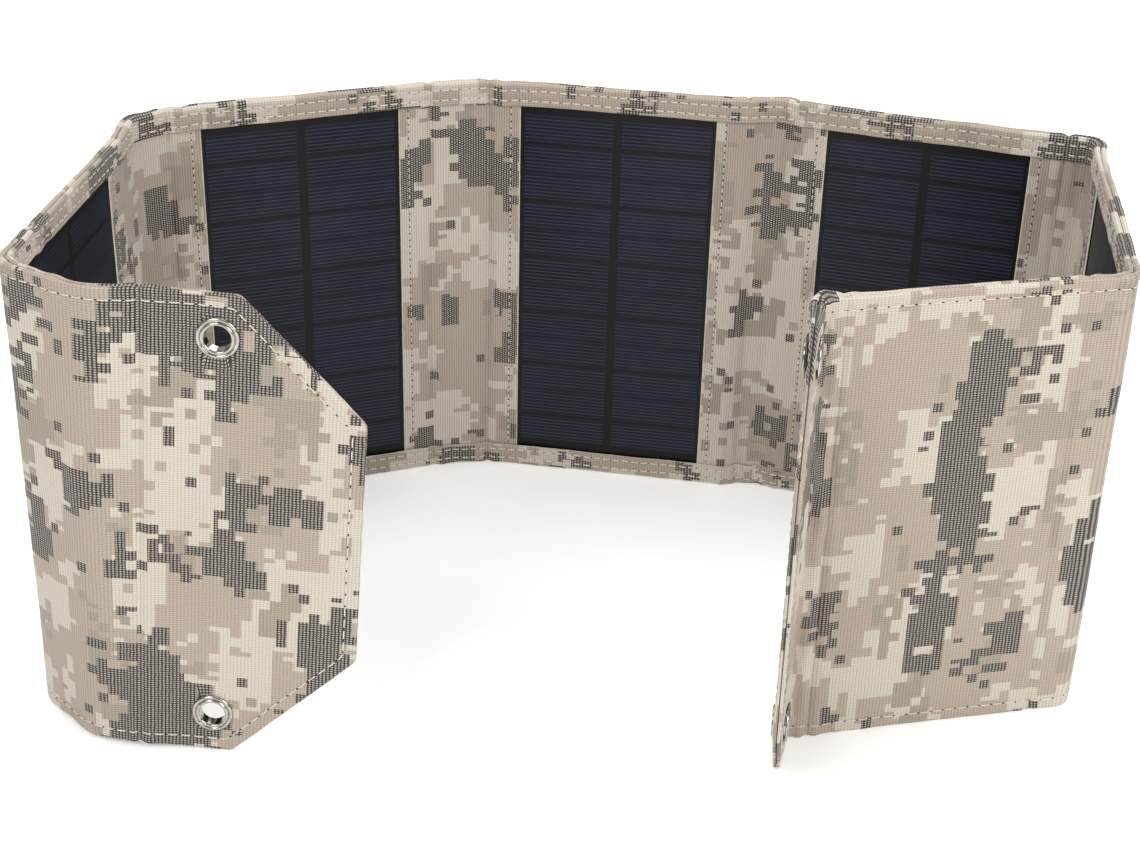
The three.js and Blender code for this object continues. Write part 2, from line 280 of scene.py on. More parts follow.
def softness(s):
    """1 in the middle of a fold's loose cloth, 0 on the stiff panels."""
    total = np.zeros_like(np.asarray(s, float))
    for begin, end in SOFT_SPANS:
        share = np.clip((s - begin) / (end - begin), 0, 1)
        total = total + np.sin(np.pi * share) ** 2
    return total


def creasing(s):
    """How near a crease is, as a groove with a small ridge on each side."""
    total = np.zeros_like(np.asarray(s, float))
    for edge in CREASES:
        total = total - 0.8 * bell(s - edge, 1.3) + 0.45 * bell(np.abs(s - edge) - 3.4, 1.8)
    return total


def crumple(s, t):
    """The deep creases in the cloth that turns sharply into the right flap."""
    fold = FOLDS[-1]
    share = bell((s - fold.start - fold.long * 0.5) / fold.long, 0.6)
    buckle = drift(s * 0.35, t + s * 0.8, 5, 13, 5) + 0.6 * drift(s, t - s, 9, 7, 3)
    return share * np.maximum(1.6 * buckle + 1.0 * np.abs(drift(s, t, 5, 17, 10)), -2.4)


def outer_height(s, t, inward):
    """How far the cover's surface stands off its drawn place. inward is the distance from the edge
    along the cloth, below RIM on the rim and negative on the hem."""
    edge = bell(np.maximum(inward - 4, 0), 9)
    height = 0.28 * drift(s, t, 46, 52, 0) + 0.12 * drift(s, t, 15, 13, 1)
    height = height + 0.16 * edge * drift(s, t, 7.5, 6, 2) + crumple(s, t)
    height = height + creasing(s) * (0.8 + 0.3 * drift(s, t, 9, 24, 3))
    height = height + softness(s) * (0.75 * drift(s, t, 8, 60, 4) + 0.3 * drift(s, t, 6, 16, 5))
    sunk = bell(inward - OUTER_ROW, 1.2)
    height = height - 0.24 * sunk + 0.16 * bell(inward - OUTER_ROW, 3) * drift(s, t, 2.6, 3, 6)
    for walk in HEM_WALKS:
        height = height - 0.24 * bell(inward - walk, 0.9)
        height = height + 0.3 * bell(inward - walk, 2.3) * drift(s, t, 2.6, 2.0, 7)
    return height + 0.1


def inner_height(s, z):
    """How far the inner fabric stands off towards the cells."""
    height = 0.12 * drift(s, z, 30, 40, 8) + 0.07 * drift(s, z, 11, 10, 9)
    height = height + creasing(s) * (0.9 + 0.5 * drift(s, z, 9, 20, 3))
    return height + softness(s) * (1.0 * drift(s, z, 8, 50, 4) + 0.3 * drift(s, z, 7, 15, 10)) + 0.05


def rim_sway(s, t):
    """The small ups and downs of the sewn edges, as a shift in height. The top has its own."""
    s = s + np.where(t > MID, 400, 0)
    return 0.25 * drift(s, 0, 17, 1, 11) + 1.0 * softness(s) * drift(s, 0, 7, 1, 2)


# ---- sections: inward (distance in from the edge), y, and the distance along the cloth ----
HEM_STOPS = (HEM, 9.4, 8.5, 7.7, 6.9, 5.8, 4.6, 3.8, 3.1, 2.2)


def edge_section():
    """From the hem's own edge, over the rounded rim, to the face."""
    hem = [(inward, 0.0) for inward in HEM_STOPS]
    turn = np.linspace(-math.pi / 2, 0.55, 6)
    lobe = [(RIM * (1 - math.cos(a)), THICK / 4 * (1 + math.sin(a))) for a in turn]
    rim = lobe + [(RIM * 1.3, THICK / 2)] + [(i, THICK - y) for i, y in reversed(lobe)]
    face = [(inward, THICK) for inward in (2.2, 3.1, 4.1, 5.0, 5.9, 7.0, 8.8, FACE_INSET)]
    places = np.array(hem + rim + face)
    walk = walk_of(places)
    return places[:, 0], places[:, 1], walk - walk[-1] + FACE_INSET


EDGE_IN, EDGE_Y, EDGE_WALK = edge_section()
ON_HEM = slice(len(HEM_STOPS))
HEM_WALKS = np.interp(-np.array(HEM_ROWS), -EDGE_IN[ON_HEM], EDGE_WALK[ON_HEM])
FACE_ROWS = np.linspace(FACE_INSET, TALL - FACE_INSET, 41)
SECTION_Z = np.concatenate([EDGE_IN, FACE_ROWS[1:-1], TALL - EDGE_IN[::-1]])
SECTION_Y = np.concatenate([EDGE_Y, np.full(len(FACE_ROWS) - 2, THICK), EDGE_Y[::-1]])
SECTION_T = np.concatenate([EDGE_WALK, FACE_ROWS[1:-1], TALL - EDGE_WALK[::-1]])


def section_facing():
    """The outward direction round the section, as shares of out and up."""
    dy, dz = np.gradient(SECTION_Y), np.gradient(SECTION_Z)
    length = np.hypot(dy, dz)
    return dz / length, -dy / length


SECTION_OUT, SECTION_UP = section_facing()
ROW_SHARES = (FACE_ROWS - FACE_ROWS[0]) / (FACE_ROWS[-1] - FACE_ROWS[0])


def cover_points(run, u, t):
    """Places on the C-shaped cover, and the directions they face."""
    u, t = np.broadcast_arrays(np.asarray(u, float), np.asarray(t, float))
    y = np.interp(t, SECTION_T, SECTION_Y)
    z = np.interp(t, SECTION_T, SECTION_Z)
    out, up = np.interp(t, SECTION_T, SECTION_OUT), np.interp(t, SECTION_T, SECTION_UP)
    s = run.start + u
    inward = np.minimum(t, TALL - t)
    height = outer_height(s, t, inward)
    near = bell(np.maximum(inward - 3, 0), 8)
    z = z + near * rim_sway(s, t) * np.clip(z / RIM, 0, 1)
    return run.place(u, y + out * height, z + up * height), run.facing(u, out, up)


def lining_points(run, u, z, lift=0.0):
    """Places on the inner fabric, and the directions they face."""
    u, z = np.broadcast_arrays(np.asarray(u, float), np.asarray(z, float))
    height = inner_height(run.start + u, z) + lift
    return run.place(u, INNER_FACE - height, z), -run.facing(u, 1.0, 0.0)


# ---- meshes ----
def tube_faces(rings, sides, base=0):
    """The walls between rings of points, and the two ends."""
    faces = []
    for i in range(rings - 1):
        for j in range(sides):
            a, b = base + i * sides + j, base + i * sides + (j + 1) % sides
            faces.append((a, a + sides, b + sides, b))
    last = base + (rings - 1) * sides
    return faces + [tuple(range(base, base + sides)), tuple(range(last + sides - 1, last - 1, -1))]


def grid_faces(rows, columns, skip=None):
    faces = []
    for i in range(rows - 1):
        for j in range(columns - 1):
            if skip is None or not skip[i, j]:
                a = i * columns + j
                faces.append((a, a + 1, a + columns + 1, a + columns))
    return faces


def point_normals(points, faces):
    """The average facing at each point of a surface of four-sided faces."""
    quads = np.array(faces)
    corner = points[quads[:, 0]]
    wide = np.cross(points[quads[:, 1]] - corner, points[quads[:, 2]] - corner)
    normals = np.zeros_like(points)
    for k in range(4):
        np.add.at(normals, quads[:, k], wide)
    return unit(normals)


def thickened(points, faces, places, thick, facing):
    """A closed sheet: the given surface, its copy `thick` further in, and walls along open edges.
    The walls are the cloth's cut edge, and come last."""
    points, places, facing = (a.reshape(-1, a.shape[-1]) for a in (points, places, facing))
    normals = point_normals(points, faces)
    if np.sum(normals * facing) < 0:
        faces = [f[::-1] for f in faces]
        normals = -normals
    used = sorted({v for f in faces for v in f})
    renumber = {v: i for i, v in enumerate(used)}
    faces = [tuple(renumber[v] for v in f) for f in faces]
    points, places, normals = points[used], places[used], normals[used]
    count = len(points)
    edges = {(a, b) for f in faces for a, b in zip(f, f[1:] + f[:1])}
    walls = [(b, a, a + count, b + count) for a, b in sorted(edges) if (b, a) not in edges]
    backs = [tuple(v + count for v in reversed(f)) for f in faces]
    solid = np.concatenate([points, points - normals * thick])
    return solid, faces + backs + walls, np.concatenate([places, places])


def piece(name, points, faces, materials, places=None, sharp=50, slots=None):
    """A mesh piece from points in millimetres. places is the printed cloth's own position."""
    mesh = bpy.data.meshes.new(name)
    mesh.from_pydata((np.asarray(points) * MM).tolist(), [], [tuple(int(v) for v in f) for f in faces])
    for material in materials if isinstance(materials, list) else [materials]:
        mesh.materials.append(material)
    if slots is not None:
        mesh.polygons.foreach_set("material_index", np.asarray(slots, np.int32))
    if places is not None:
        attribute = mesh.attributes.new("cloth_place", "FLOAT_VECTOR", "POINT")
        attribute.data.foreach_set("vector", np.asarray(places, np.float32).ravel())
    mesh.polygons.foreach_set("use_smooth", np.ones(len(mesh.polygons), bool))
    mesh.set_sharp_from_angle(angle=math.radians(sharp))
    mesh.validate()
    mesh.update()
    made = bpy.data.objects.new(name, mesh)
    bpy.context.scene.collection.objects.link(made)
    return made


def cloth_piece(name, points, faces, places, thick, facing, material, run, bound=None):
    """A sheet of printed cloth with its cut edges. bound marks more faces as turned edge."""
    solid, solid_faces, solid_places = thickened(points, faces, places, thick, facing)
    slots = np.zeros(len(solid_faces), np.int32)
    slots[2 * len(faces):] = 1
    if bound is not None:
        slots[:len(faces)][bound] = 1
    made = piece(name, solid, solid_faces, [material, CUT_EDGE], solid_places, slots=slots)
    return join_body(made, run)


INNER_PRINT = (311.0, 127.0, 40.0)  # the inner cloth is cut from another part of the roll


def print_places(s, t, side):
    """Where the printed cloth shows here, in millimetres; side 0 is the cover, 1 the inner cloth."""
    s, t = np.broadcast_arrays(np.asarray(s, float), np.asarray(t, float))
    across, up, layer = INNER_PRINT
    return np.stack([s + across * side, t + up * side, np.full(s.shape, layer * side)], -1)


def blend_fold(made, fold):
    """Bakes a fold's piece where it lies. How far each panel reaches into the fold is worked out but not
    used.
    """
    ends = [fold.place(u, THICK / 2, MID) for u in (0.0, fold.long)]
    ahead = unit(ends[1] - ends[0])
    reach = [0.0, 0.0]
    for y in (-0.6, THICK + 0.6):
        for z in (0.0, TALL):
            reach[0] = max(reach[0], float((fold.place(0.0, y, z) - ends[0]) @ ahead))
            reach[1] = max(reach[1], float((ends[1] - fold.place(fold.long, y, z)) @ ahead))
    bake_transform(made)


def join_body(made, run):
    """A fold's piece is baked where it lies and rides on no panel; any other rides on its own."""
    if len(run.bodies) == 2:
        blend_fold(made, run)
    else:
        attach(made, run.bodies[0])
    return made


def stand_for(made, slot_name, *nodes):
    """Hides the CAD nodes that a piece replaces. slot_name is not used."""
    if nodes:
        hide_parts(*nodes)


# ---- shader nodes ----
def new_tree_node(tree, kind, inputs=(), **settings):
    """A node with its inputs set or linked: by name or number, or in their own order."""
    made = tree.nodes.new(kind)
    for key, value in settings.items():
        setattr(made, key, value)
    for key, value in inputs.items() if isinstance(inputs, dict) else enumerate(inputs):
        if isinstance(value, bpy.types.NodeSocket):
            tree.links.new(value, made.inputs[key])
        else:
            made.inputs[key].default_value = value
    return made


def maths(tree, operation, *values):
    return new_tree_node(tree, "ShaderNodeMath", values, operation=operation).outputs[0]


def plus(tree, a, b):
    return maths(tree, "ADD", a, b)


def less(tree, a, b):
    return maths(tree, "SUBTRACT", a, b)


def times(tree, a, b):
    return maths(tree, "MULTIPLY", a, b)


def shift(tree, operation, *values):
    return new_tree_node(tree, "ShaderNodeVectorMath", values, operation=operation).outputs[0]


def shade_of(tree, colour, share):
    """The colour made darker or lighter by a share."""
    inputs = {0: colour, "Scale": share}
    return new_tree_node(tree, "ShaderNodeVectorMath", inputs, operation="SCALE").outputs[0]


def mix(tree, share, a, b):
    inputs = {0: share, 6: a, 7: b}
    return new_tree_node(tree, "ShaderNodeMix", inputs, data_type="RGBA").outputs[2]


def ramp(tree, value, low, high):
    """From 0 at low to 1 at high, eased."""
    inputs = (value, low, high, 0.0, 1.0)
    return new_tree_node(tree, "ShaderNodeMapRange", inputs, interpolation_type="SMOOTHSTEP").outputs[0]


def clouds(tree, place, scale, detail=2.0, rough=0.5):
    inputs = {"Vector": place, "Scale": scale, "Detail": detail, "Roughness": rough}
    return new_tree_node(tree, "ShaderNodeTexNoise", inputs).outputs[0]


def shader_group(name, inputs, outputs):
    group = bpy.data.node_groups.new(name, "ShaderNodeTree")
    for label, kind, default in inputs:
        socket = group.interface.new_socket(name=label, in_out="INPUT", socket_type=f"NodeSocket{kind}")
        if default is not None:
            socket.default_value = default
    for label, kind in outputs:
        group.interface.new_socket(name=label, in_out="OUTPUT", socket_type=f"NodeSocket{kind}")
    return group, group.nodes.new("NodeGroupInput"), group.nodes.new("NodeGroupOutput")


def paint(red, green, blue):
    """A colour given as it looks on a chart (0 to 255), as linear light."""
    shares = [v / 255 for v in (red, green, blue)]
    return (*[v / 12.92 if v <= 0.04045 else ((v + 0.055) / 1.055) ** 2.4 for v in shares], 1.0)


CREAM = paint(200, 191, 177)
TAN = paint(173, 158, 144)
KHAKI = paint(158, 148, 133)
CHARCOAL = paint(66, 61, 59)


WHOLE_SQUARES = (1.0, 1.0, 1.0)
HALF_SQUARES = (1.0, 0.5, 1.0)
PATCH_STRETCH = (1.0, 0.72, 1.0)  # patches are taller than wide
NOTCHES = 0.18  # how much half squares notch a patch, against whole ones


def desert_print_group():
    """Squared-off desert print in four colours, sized in millimetres of cloth."""
    group, given, out = shader_group(
        "desert_print", [("Place", "Vector", None), ("Square", "Float", 4.2)],
        [("Color", "Color"), ("Dark", "Float")])
    place, square = given.outputs["Place"], given.outputs["Square"]

    def squares(shares, offset):
        sizes = [times(group, square, share) for share in shares]
        steps = new_tree_node(group, "ShaderNodeCombineXYZ", sizes).outputs[0]
        return shift(group, "SNAP", shift(group, "ADD", place, offset), steps)

    def patches(offset, broad, fine, amount, level):
        """1 in ragged patches of whole squares: a higher level leaves fewer of them."""
        wide = clouds(group, shift(group, "MULTIPLY", squares(WHOLE_SQUARES, offset), PATCH_STRETCH), broad)
        small = clouds(group, squares(WHOLE_SQUARES, offset), fine, 1.0)
        slim = clouds(group, squares(HALF_SQUARES, offset), fine * 1.3, 0.0)
        ragged = times(group, less(group, small, 0.5), amount)
        notched = times(group, less(group, slim, 0.5), amount * NOTCHES)
        return maths(group, "GREATER_THAN", plus(group, wide, plus(group, ragged, notched)), level)

    tan = patches((13.0, 5.0, 0.0), 0.030, 0.14, 0.26, 0.485)
    khaki = patches((401.0, 77.0, 9.0), 0.045, 0.2, 0.22, 0.61)
    dark = patches((207.0, 331.0, 4.0), 0.026, 0.13, 0.30, 0.548)
    one_by_one = squares(WHOLE_SQUARES, (61.0, 19.0, 2.0))
    lone = new_tree_node(group, "ShaderNodeTexWhiteNoise", {"Vector": one_by_one}).outputs[0]
    spots, holes = maths(group, "GREATER_THAN", lone, 0.991), maths(group, "LESS_THAN", lone, 0.03)
    dark = less(group, maths(group, "MAXIMUM", dark, spots), holes)
    dark = new_tree_node(group, "ShaderNodeClamp", [dark]).outputs[0]
    colour = mix(group, khaki, mix(group, tan, CREAM, TAN), KHAKI)
    group.links.new(mix(group, dark, colour, CHARCOAL), out.inputs["Color"])
    group.links.new(dark, out.inputs["Dark"])
    return group


def plain_weave_group():
    """Plain weave of thick yarns: height of the yarns, the crossings and the gaps between them."""
    group, given, out = shader_group(
        "plain_weave",
        [("Place", "Vector", None), ("Across", "Float", 1.05), ("Up", "Float", 0.8),
         ("Stagger", "Float", 0.0)],
        [("Height", "Float"), ("Crossings", "Float"), ("Gaps", "Float")])
    parts = new_tree_node(group, "ShaderNodeSeparateXYZ", [given.outputs["Place"]]).outputs
    wobble = times(group, less(group, clouds(group, given.outputs["Place"], 0.35, 1.0), 0.5), 0.5)
    x = maths(group, "DIVIDE", plus(group, parts[0], wobble), given.outputs["Across"])
    y = maths(group, "DIVIDE", plus(group, parts[1], wobble), given.outputs["Up"])
    y = plus(group, y, times(group, maths(group, "FLOOR", x), given.outputs["Stagger"]))
    waves = [maths(group, "SINE", times(group, v, math.pi)) for v in (x, y)]
    round_x, round_y = (maths(group, "ABSOLUTE", wave) for wave in waves)
    cells = plus(group, maths(group, "FLOOR", x), maths(group, "FLOOR", y))
    warp = maths(group, "FLOORED_MODULO", cells, 2.0)
    weft = less(group, 1.0, warp)
    over = plus(group, times(group, round_x, 0.65), times(group, round_y, 0.35))
    under = plus(group, times(group, round_y, 0.65), times(group, round_x, 0.35))
    height = plus(group, times(group, over, warp), times(group, under, weft))
    both = times(group, round_x, round_y)
    group.links.new(height, out.inputs["Height"])
    group.links.new(ramp(group, both, 0.36, 0.82), out.inputs["Crossings"])
    group.links.new(ramp(group, both, 0.42, 0.05), out.inputs["Gaps"])
    return group


def handling_group():
    """Soft dirt and rubbing from use: a slow tone change and fine specks."""
    group, given, out = shader_group(
        "handling", [("Place", "Vector", None), ("Size", "Float", 0.02)],
        [("Tone", "Float"), ("Specks", "Float")])
    place, scale = given.outputs["Place"], given.outputs["Size"]
    wide = clouds(group, place, scale, 3.0, 0.6)
    fine = clouds(group, place, times(group, scale, 60.0), 2.0, 0.6)
    group.links.new(wide, out.inputs["Tone"])
    group.links.new(ramp(group, fine, 0.62, 0.78), out.inputs["Specks"])
    return group


SPINE = 2.0  # half the black gap between the two columns of strips
STRIPS_WIDE = 42.1  # from the middle to the outer end of a strip
STRIPS_TALL = 83.5  # from the middle to the top of the last row
ROW, FINGER = 13.9, 1.74  # from row to row, and from finger line to finger line
ROWS_FOOT = 6 * ROW


def cell_rows_group():
    """Two columns of dark cell strips with silver finger lines, black between and round them."""
    group, given, out = shader_group(
        "cell_rows", [("Place", "Vector", None), ("Row", "Float", ROW), ("Finger", "Float", FINGER)],
        [("Cell", "Float"), ("Fingers", "Float"), ("Joins", "Float")])
    row, finger = given.outputs["Row"], given.outputs["Finger"]
    parts = new_tree_node(group, "ShaderNodeSeparateXYZ", [given.outputs["Place"]]).outputs
    across, up = maths(group, "ABSOLUTE", parts[0]), maths(group, "ABSOLUTE", parts[1])
    soft = 0.1
    wide = times(group, ramp(group, across, SPINE - soft, SPINE + soft),
                 ramp(group, across, STRIPS_WIDE + soft, STRIPS_WIDE - soft))
    cell = times(group, wide, ramp(group, up, STRIPS_TALL + soft, STRIPS_TALL - soft))
    from_foot = plus(group, parts[1], ROWS_FOOT)

    def from_line(pitch):
        return maths(group, "PINGPONG", from_foot, maths(group, "DIVIDE", pitch, 2.0))

    line = maths(group, "FLOOR", maths(group, "DIVIDE", plus(group, parts[1], ROWS_FOOT + ROW / 2), row))
    strong = maths(group, "FLOORED_MODULO", line, 2.0)
    join = ramp(group, from_line(row), 1.25, 0.75)
    join = times(group, join, plus(group, 0.55, times(group, strong, 0.45)))
    for label, mask in (("Fingers", ramp(group, from_line(finger), 0.35, 0.80)), ("Joins", join)):
        group.links.new(times(group, mask, cell), out.inputs[label])
    group.links.new(cell, out.inputs["Cell"])
    return group


def finish_shell(name, **values):
    """A new material with its shader, and constants set on the shader's own sockets."""
    material = bpy.data.materials.new(name)
    material.use_nodes = True
    tree = material.node_tree
    shader = next(n for n in tree.nodes if n.type == "BSDF_PRINCIPLED")
    for key, value in values.items():
        shader.inputs[key.replace("_", " ")].default_value = value
    return material, tree, shader


def placed(tree, group, place, **values):
    """A shared effect at a place, with the material's own values."""
    return new_tree_node(tree, "ShaderNodeGroup", {"Place": place, **values}, node_tree=group).outputs


def cloth_place(tree):
    return new_tree_node(tree, "ShaderNodeAttribute", attribute_name="cloth_place").outputs["Vector"]


def object_place(tree):
    """The place on the object, in millimetres."""
    coordinates = new_tree_node(tree, "ShaderNodeTexCoord").outputs["Object"]
    return shift(tree, "MULTIPLY", coordinates, (1 / MM,) * 3)


def bumped(tree, shader, height, strength, distance):
    inputs = {"Strength": strength, "Distance": distance, "Height": height}
    bump = new_tree_node(tree, "ShaderNodeBump", inputs)
    tree.links.new(bump.outputs[0], shader.inputs["Normal"])


PRINT, WEAVE = desert_print_group(), plain_weave_group()
HANDLING, CELL_ROWS = handling_group(), cell_rows_group()
YARN_TOP_HIGHLIGHT = paint(219, 210, 196)  # painted highlight on the tops of the yarns
CLOTH_DUST = paint(206, 196, 180)


def printed_oxford(name, square, across, up, stagger, brightness, gap_shade_share):
    """Printed polyester oxford, with painted shade in the gaps between the yarns and a painted highlight on
    the yarn tops, stronger on the dark print.
    """
    material, tree, shader = finish_shell(
        name, Sheen_Weight=0.12, Sheen_Roughness=0.45, Specular_IOR_Level=0.25)
    place = cloth_place(tree)
    print_out = placed(tree, PRINT, place, Square=square)
    weave = placed(tree, WEAVE, place, Across=across, Up=up, Stagger=stagger)
    wear = placed(tree, HANDLING, place, Size=0.018)
    # painted shade: the gaps between the yarns are darkened to about half the print colour
    yarn = mix(tree, times(tree, weave["Gaps"], gap_shade_share), print_out["Color"],
               shade_of(tree, print_out["Color"], 0.52))
    # painted highlight: the yarn tops at the crossings are lightened, more on the dark print
    light = times(tree, weave["Crossings"], plus(tree, 0.10, times(tree, print_out["Dark"], 0.43)))
    yarn = mix(tree, light, yarn, YARN_TOP_HIGHLIGHT)
    tone = plus(tree, brightness - 0.06, times(tree, wear["Tone"], 0.12))
    dusty = mix(tree, times(tree, wear["Specks"], 0.12), shade_of(tree, yarn, tone), CLOTH_DUST)
    tree.links.new(dusty, shader.inputs["Base Color"])
    rough = plus(tree, 0.74, times(tree, wear["Tone"], 0.16))
    tree.links.new(rough, shader.inputs["Roughness"])
    bumped(tree, shader, weave["Height"], 0.55, 0.00022)
    return material


def cell_laminate():
    """The clear laminate over the cell strips."""
    material, tree, shader = finish_shell(
        "cell_laminate", Coat_Weight=0.03, Coat_Roughness=0.3, Specular_IOR_Level=0.2)
    place = cloth_place(tree)
    rows = placed(tree, CELL_ROWS, place)
    wear = placed(tree, HANDLING, place, Size=0.03)
    navy = mix(tree, ramp(tree, wear["Tone"], 0.35, 0.65), paint(5, 9, 22), paint(17, 18, 33))
    silver = mix(tree, times(tree, rows["Fingers"], 0.6), navy, paint(54, 60, 78))
    cells = mix(tree, times(tree, rows["Joins"], 0.9), silver, paint(12, 12, 15))
    face = mix(tree, rows["Cell"], paint(13, 13, 14), cells)
    speck = mix(tree, times(tree, wear["Specks"], 0.05), face, paint(110, 110, 110))
    tree.links.new(speck, shader.inputs["Base Color"])
    rough = plus(tree, 0.34, times(tree, wear["Tone"], 0.14))
    tree.links.new(rough, shader.inputs["Roughness"])
    relief = plus(tree, times(tree, rows["Fingers"], 0.5), times(tree, clouds(tree, place, 0.5, 2.0), 0.6))
    bumped(tree, shader, relief, 0.35, 0.00008)
    return material


def grained(name, low, high, rough, grain, bump_share, **values):
    """A finish with a slow colour change and a fine grain, for the hard parts."""
    material, tree, shader = finish_shell(name, **values)
    place = object_place(tree)
    wear = placed(tree, HANDLING, place, Size=0.08)
    fine = clouds(tree, place, grain, 3.0, 0.6)
    colour = mix(tree, ramp(tree, fine, 0.3, 0.7), low, high)
    dull = mix(tree, times(tree, wear["Specks"], 0.15), colour, paint(150, 145, 138))
    tree.links.new(dull, shader.inputs["Base Color"])
    spread = plus(tree, rough - 0.05, times(tree, wear["Tone"], 0.12))
    tree.links.new(spread, shader.inputs["Roughness"])
    bumped(tree, shader, fine, bump_share, 0.0001)
    return material


OUTER = printed_oxford("outer_oxford", 4.1, 1.38, 0.98, 0.0, 0.99, 0.62)
INNER = printed_oxford("inner_oxford", 4.1, 1.15, 1.05, 0.5, 0.99, 0.75)
CELLS = cell_laminate()
CUT_EDGE = grained("cut_edge", paint(196, 188, 174), paint(218, 211, 198), 0.9, 1.6, 0.7, Sheen_Weight=0.1)
THREAD = grained("sewing_thread", paint(196, 186, 170), paint(222, 213, 198), 0.8, 2.5, 0.5,
                 Sheen_Weight=0.2)
# painted shade: needle holes are dark discs standing in for the shade inside each hole
NEEDLE_HOLE_SHADE = grained("needle_hole_shade", paint(38, 34, 31), paint(60, 54, 50), 0.95, 2.0, 0.2)
NICKEL = grained("polished_nickel", paint(168, 163, 154), paint(190, 186, 177), 0.12, 0.8, 0.03,
                 Metallic=1.0)
TINNED = grained("tinned_ribbon", paint(178, 172, 160), paint(198, 193, 182), 0.4, 1.5, 0.1, Metallic=0.9)
CASE = grained("moulded_case", paint(24, 24, 26), paint(36, 36, 38), 0.5, 3.0, 0.4)
BOARD = grained("circuit_board", paint(22, 62, 42), paint(30, 80, 54), 0.4, 0.6, 0.1, Coat_Weight=0.4)
FIBRE = grained("fibreboard", paint(84, 72, 60), paint(112, 98, 84), 0.9, 1.2, 0.6)


# ---- covers, inner cloth and laminates of the panels ----
def columns_of(run, step=1.5):
    count = max(8, int(run.long / step))
    return np.linspace(0, run.long, count + 1)


def cover_of(run, node, name):
    u, t = np.meshgrid(columns_of(run), SECTION_T)
    points, facing = cover_points(run, u, t)
    places = print_places(run.start + u, t, 0)
    made = cloth_piece(name, points, grid_faces(*u.shape), places, CLOTH, facing, OUTER, run)
    stand_for(made, "outer_fabric", node)


LINING_EDGE = np.array([0.9, 2.5, 4.5, 7.0, 9.5])
LINING_ROWS = np.concatenate([LINING_EDGE, FACE_ROWS[1:-1], TALL - LINING_EDGE[::-1]])


def lining_of(run, name, nodes=(), window=False):
    """The inner cloth: whole, or with the window that shows the cells."""
    if window:
        edge = run.long / 2 - CELL_WIDE / 2
        left = np.concatenate([np.linspace(0, edge - 1.2, 10), edge - np.array([0.8, 0.45, 0.15, 0.0])])
        columns = np.concatenate([left, run.long / 2 + np.linspace(-40, 40, 9), (run.long - left)[::-1]])
    else:
        columns = columns_of(run)
    u, z = np.meshgrid(columns, LINING_ROWS)
    drop, skip, bound = np.zeros_like(u), None, None
    if window:
        inside = CELL_WIDE / 2 - np.abs(u - run.long / 2)
        turned_in = np.clip((inside + 0.5) / 0.5, 0, 1) ** 2 * (inside < 0.5)
        drop = 0.16 * bell(inside + 1.6, 0.9) - 0.55 * turned_in
        middle_u = (u[:-1, :-1] + u[1:, 1:]) / 2 - run.long / 2
        middle_z = (z[:-1, :-1] + z[1:, 1:]) / 2
        within = (middle_z > WINDOW_FOOT) & (middle_z < TALL - WINDOW_FOOT)
        skip = (np.abs(middle_u) < CELL_WIDE / 2) & within
    points, facing = lining_points(run, u, z, drop)
    places = print_places(run.start + u, z, 1)
    faces = grid_faces(*u.shape, skip)
    if window:
        middle_u = np.array([u.reshape(-1)[list(f)].mean() for f in faces]) - run.long / 2
        bound = np.abs(np.abs(middle_u) - CELL_WIDE / 2) < 0.32
    made = cloth_piece(name, points, faces, places, LINING, facing, INNER, run, bound)
    stand_for(made, "inner_fabric", *nodes)


def laminate_of(run, number):
    """The cell laminate, a thin slab that bows very slightly behind its window."""
    half = CELL_WIDE / 2 + 5
    across, up = np.linspace(-half, half, 40), np.linspace(5.5, TALL - 5.5, 66)
    x, z = np.meshgrid(across, up)
    bow = 0.10 * drift(x + 200 * number, z, 40, 60, 8) + 0.05 * np.cos(x / half * math.pi / 2)
    u = x + run.long / 2
    points = run.place(u, 1.65 - bow, z)
    places = np.stack([x, z - MID, np.full(x.shape, 7.0 * number)], -1)
    facing = -run.facing(u, np.ones_like(u), 0)
    solid, faces, places = thickened(points, grid_faces(*x.shape), places, 0.7, facing)
    made = join_body(piece(f"laminate_{number}", solid, faces, CELLS, places), run)
    stand_for(made, "solar_laminate", f"panel_{number}_solar_laminate")


def ribbon_of(fold, before, after, number):
    """The flat lead that joins two laminates, drawn through the fold."""
    y0, y1, z0, z1 = RIBBON
    middle = (z0 + z1) / 2
    outside = [(y0, z0), (y0, middle), (y0, z1), (y1, z1), (y1, middle), (y1, z0)]
    start, end = 12.5, 12.5 if number < 5 else 17.0
    stretches = ((before, before.long - np.linspace(start, 1.0, 6)), (fold, np.linspace(0, fold.long, 28)),
                 (after, np.linspace(1.0, end, 6)))
    rings = [[run.place(u, y, z) for y, z in outside] for run, stops in stretches for u in stops]
    faces = tube_faces(len(rings), len(outside))
    made = piece(f"ribbon_{number}_{number + 1}", np.concatenate(rings), faces, TINNED, sharp=40)
    blend_fold(made, fold)
    stand_for(made, "lead_ribbon", f"lead_ribbon_{number}_{number + 1}")


# ---- stitching ----
THREAD_SIDES = 6
THREAD_TURNS = [2 * math.pi * k / THREAD_SIDES for k in range(THREAD_SIDES)]


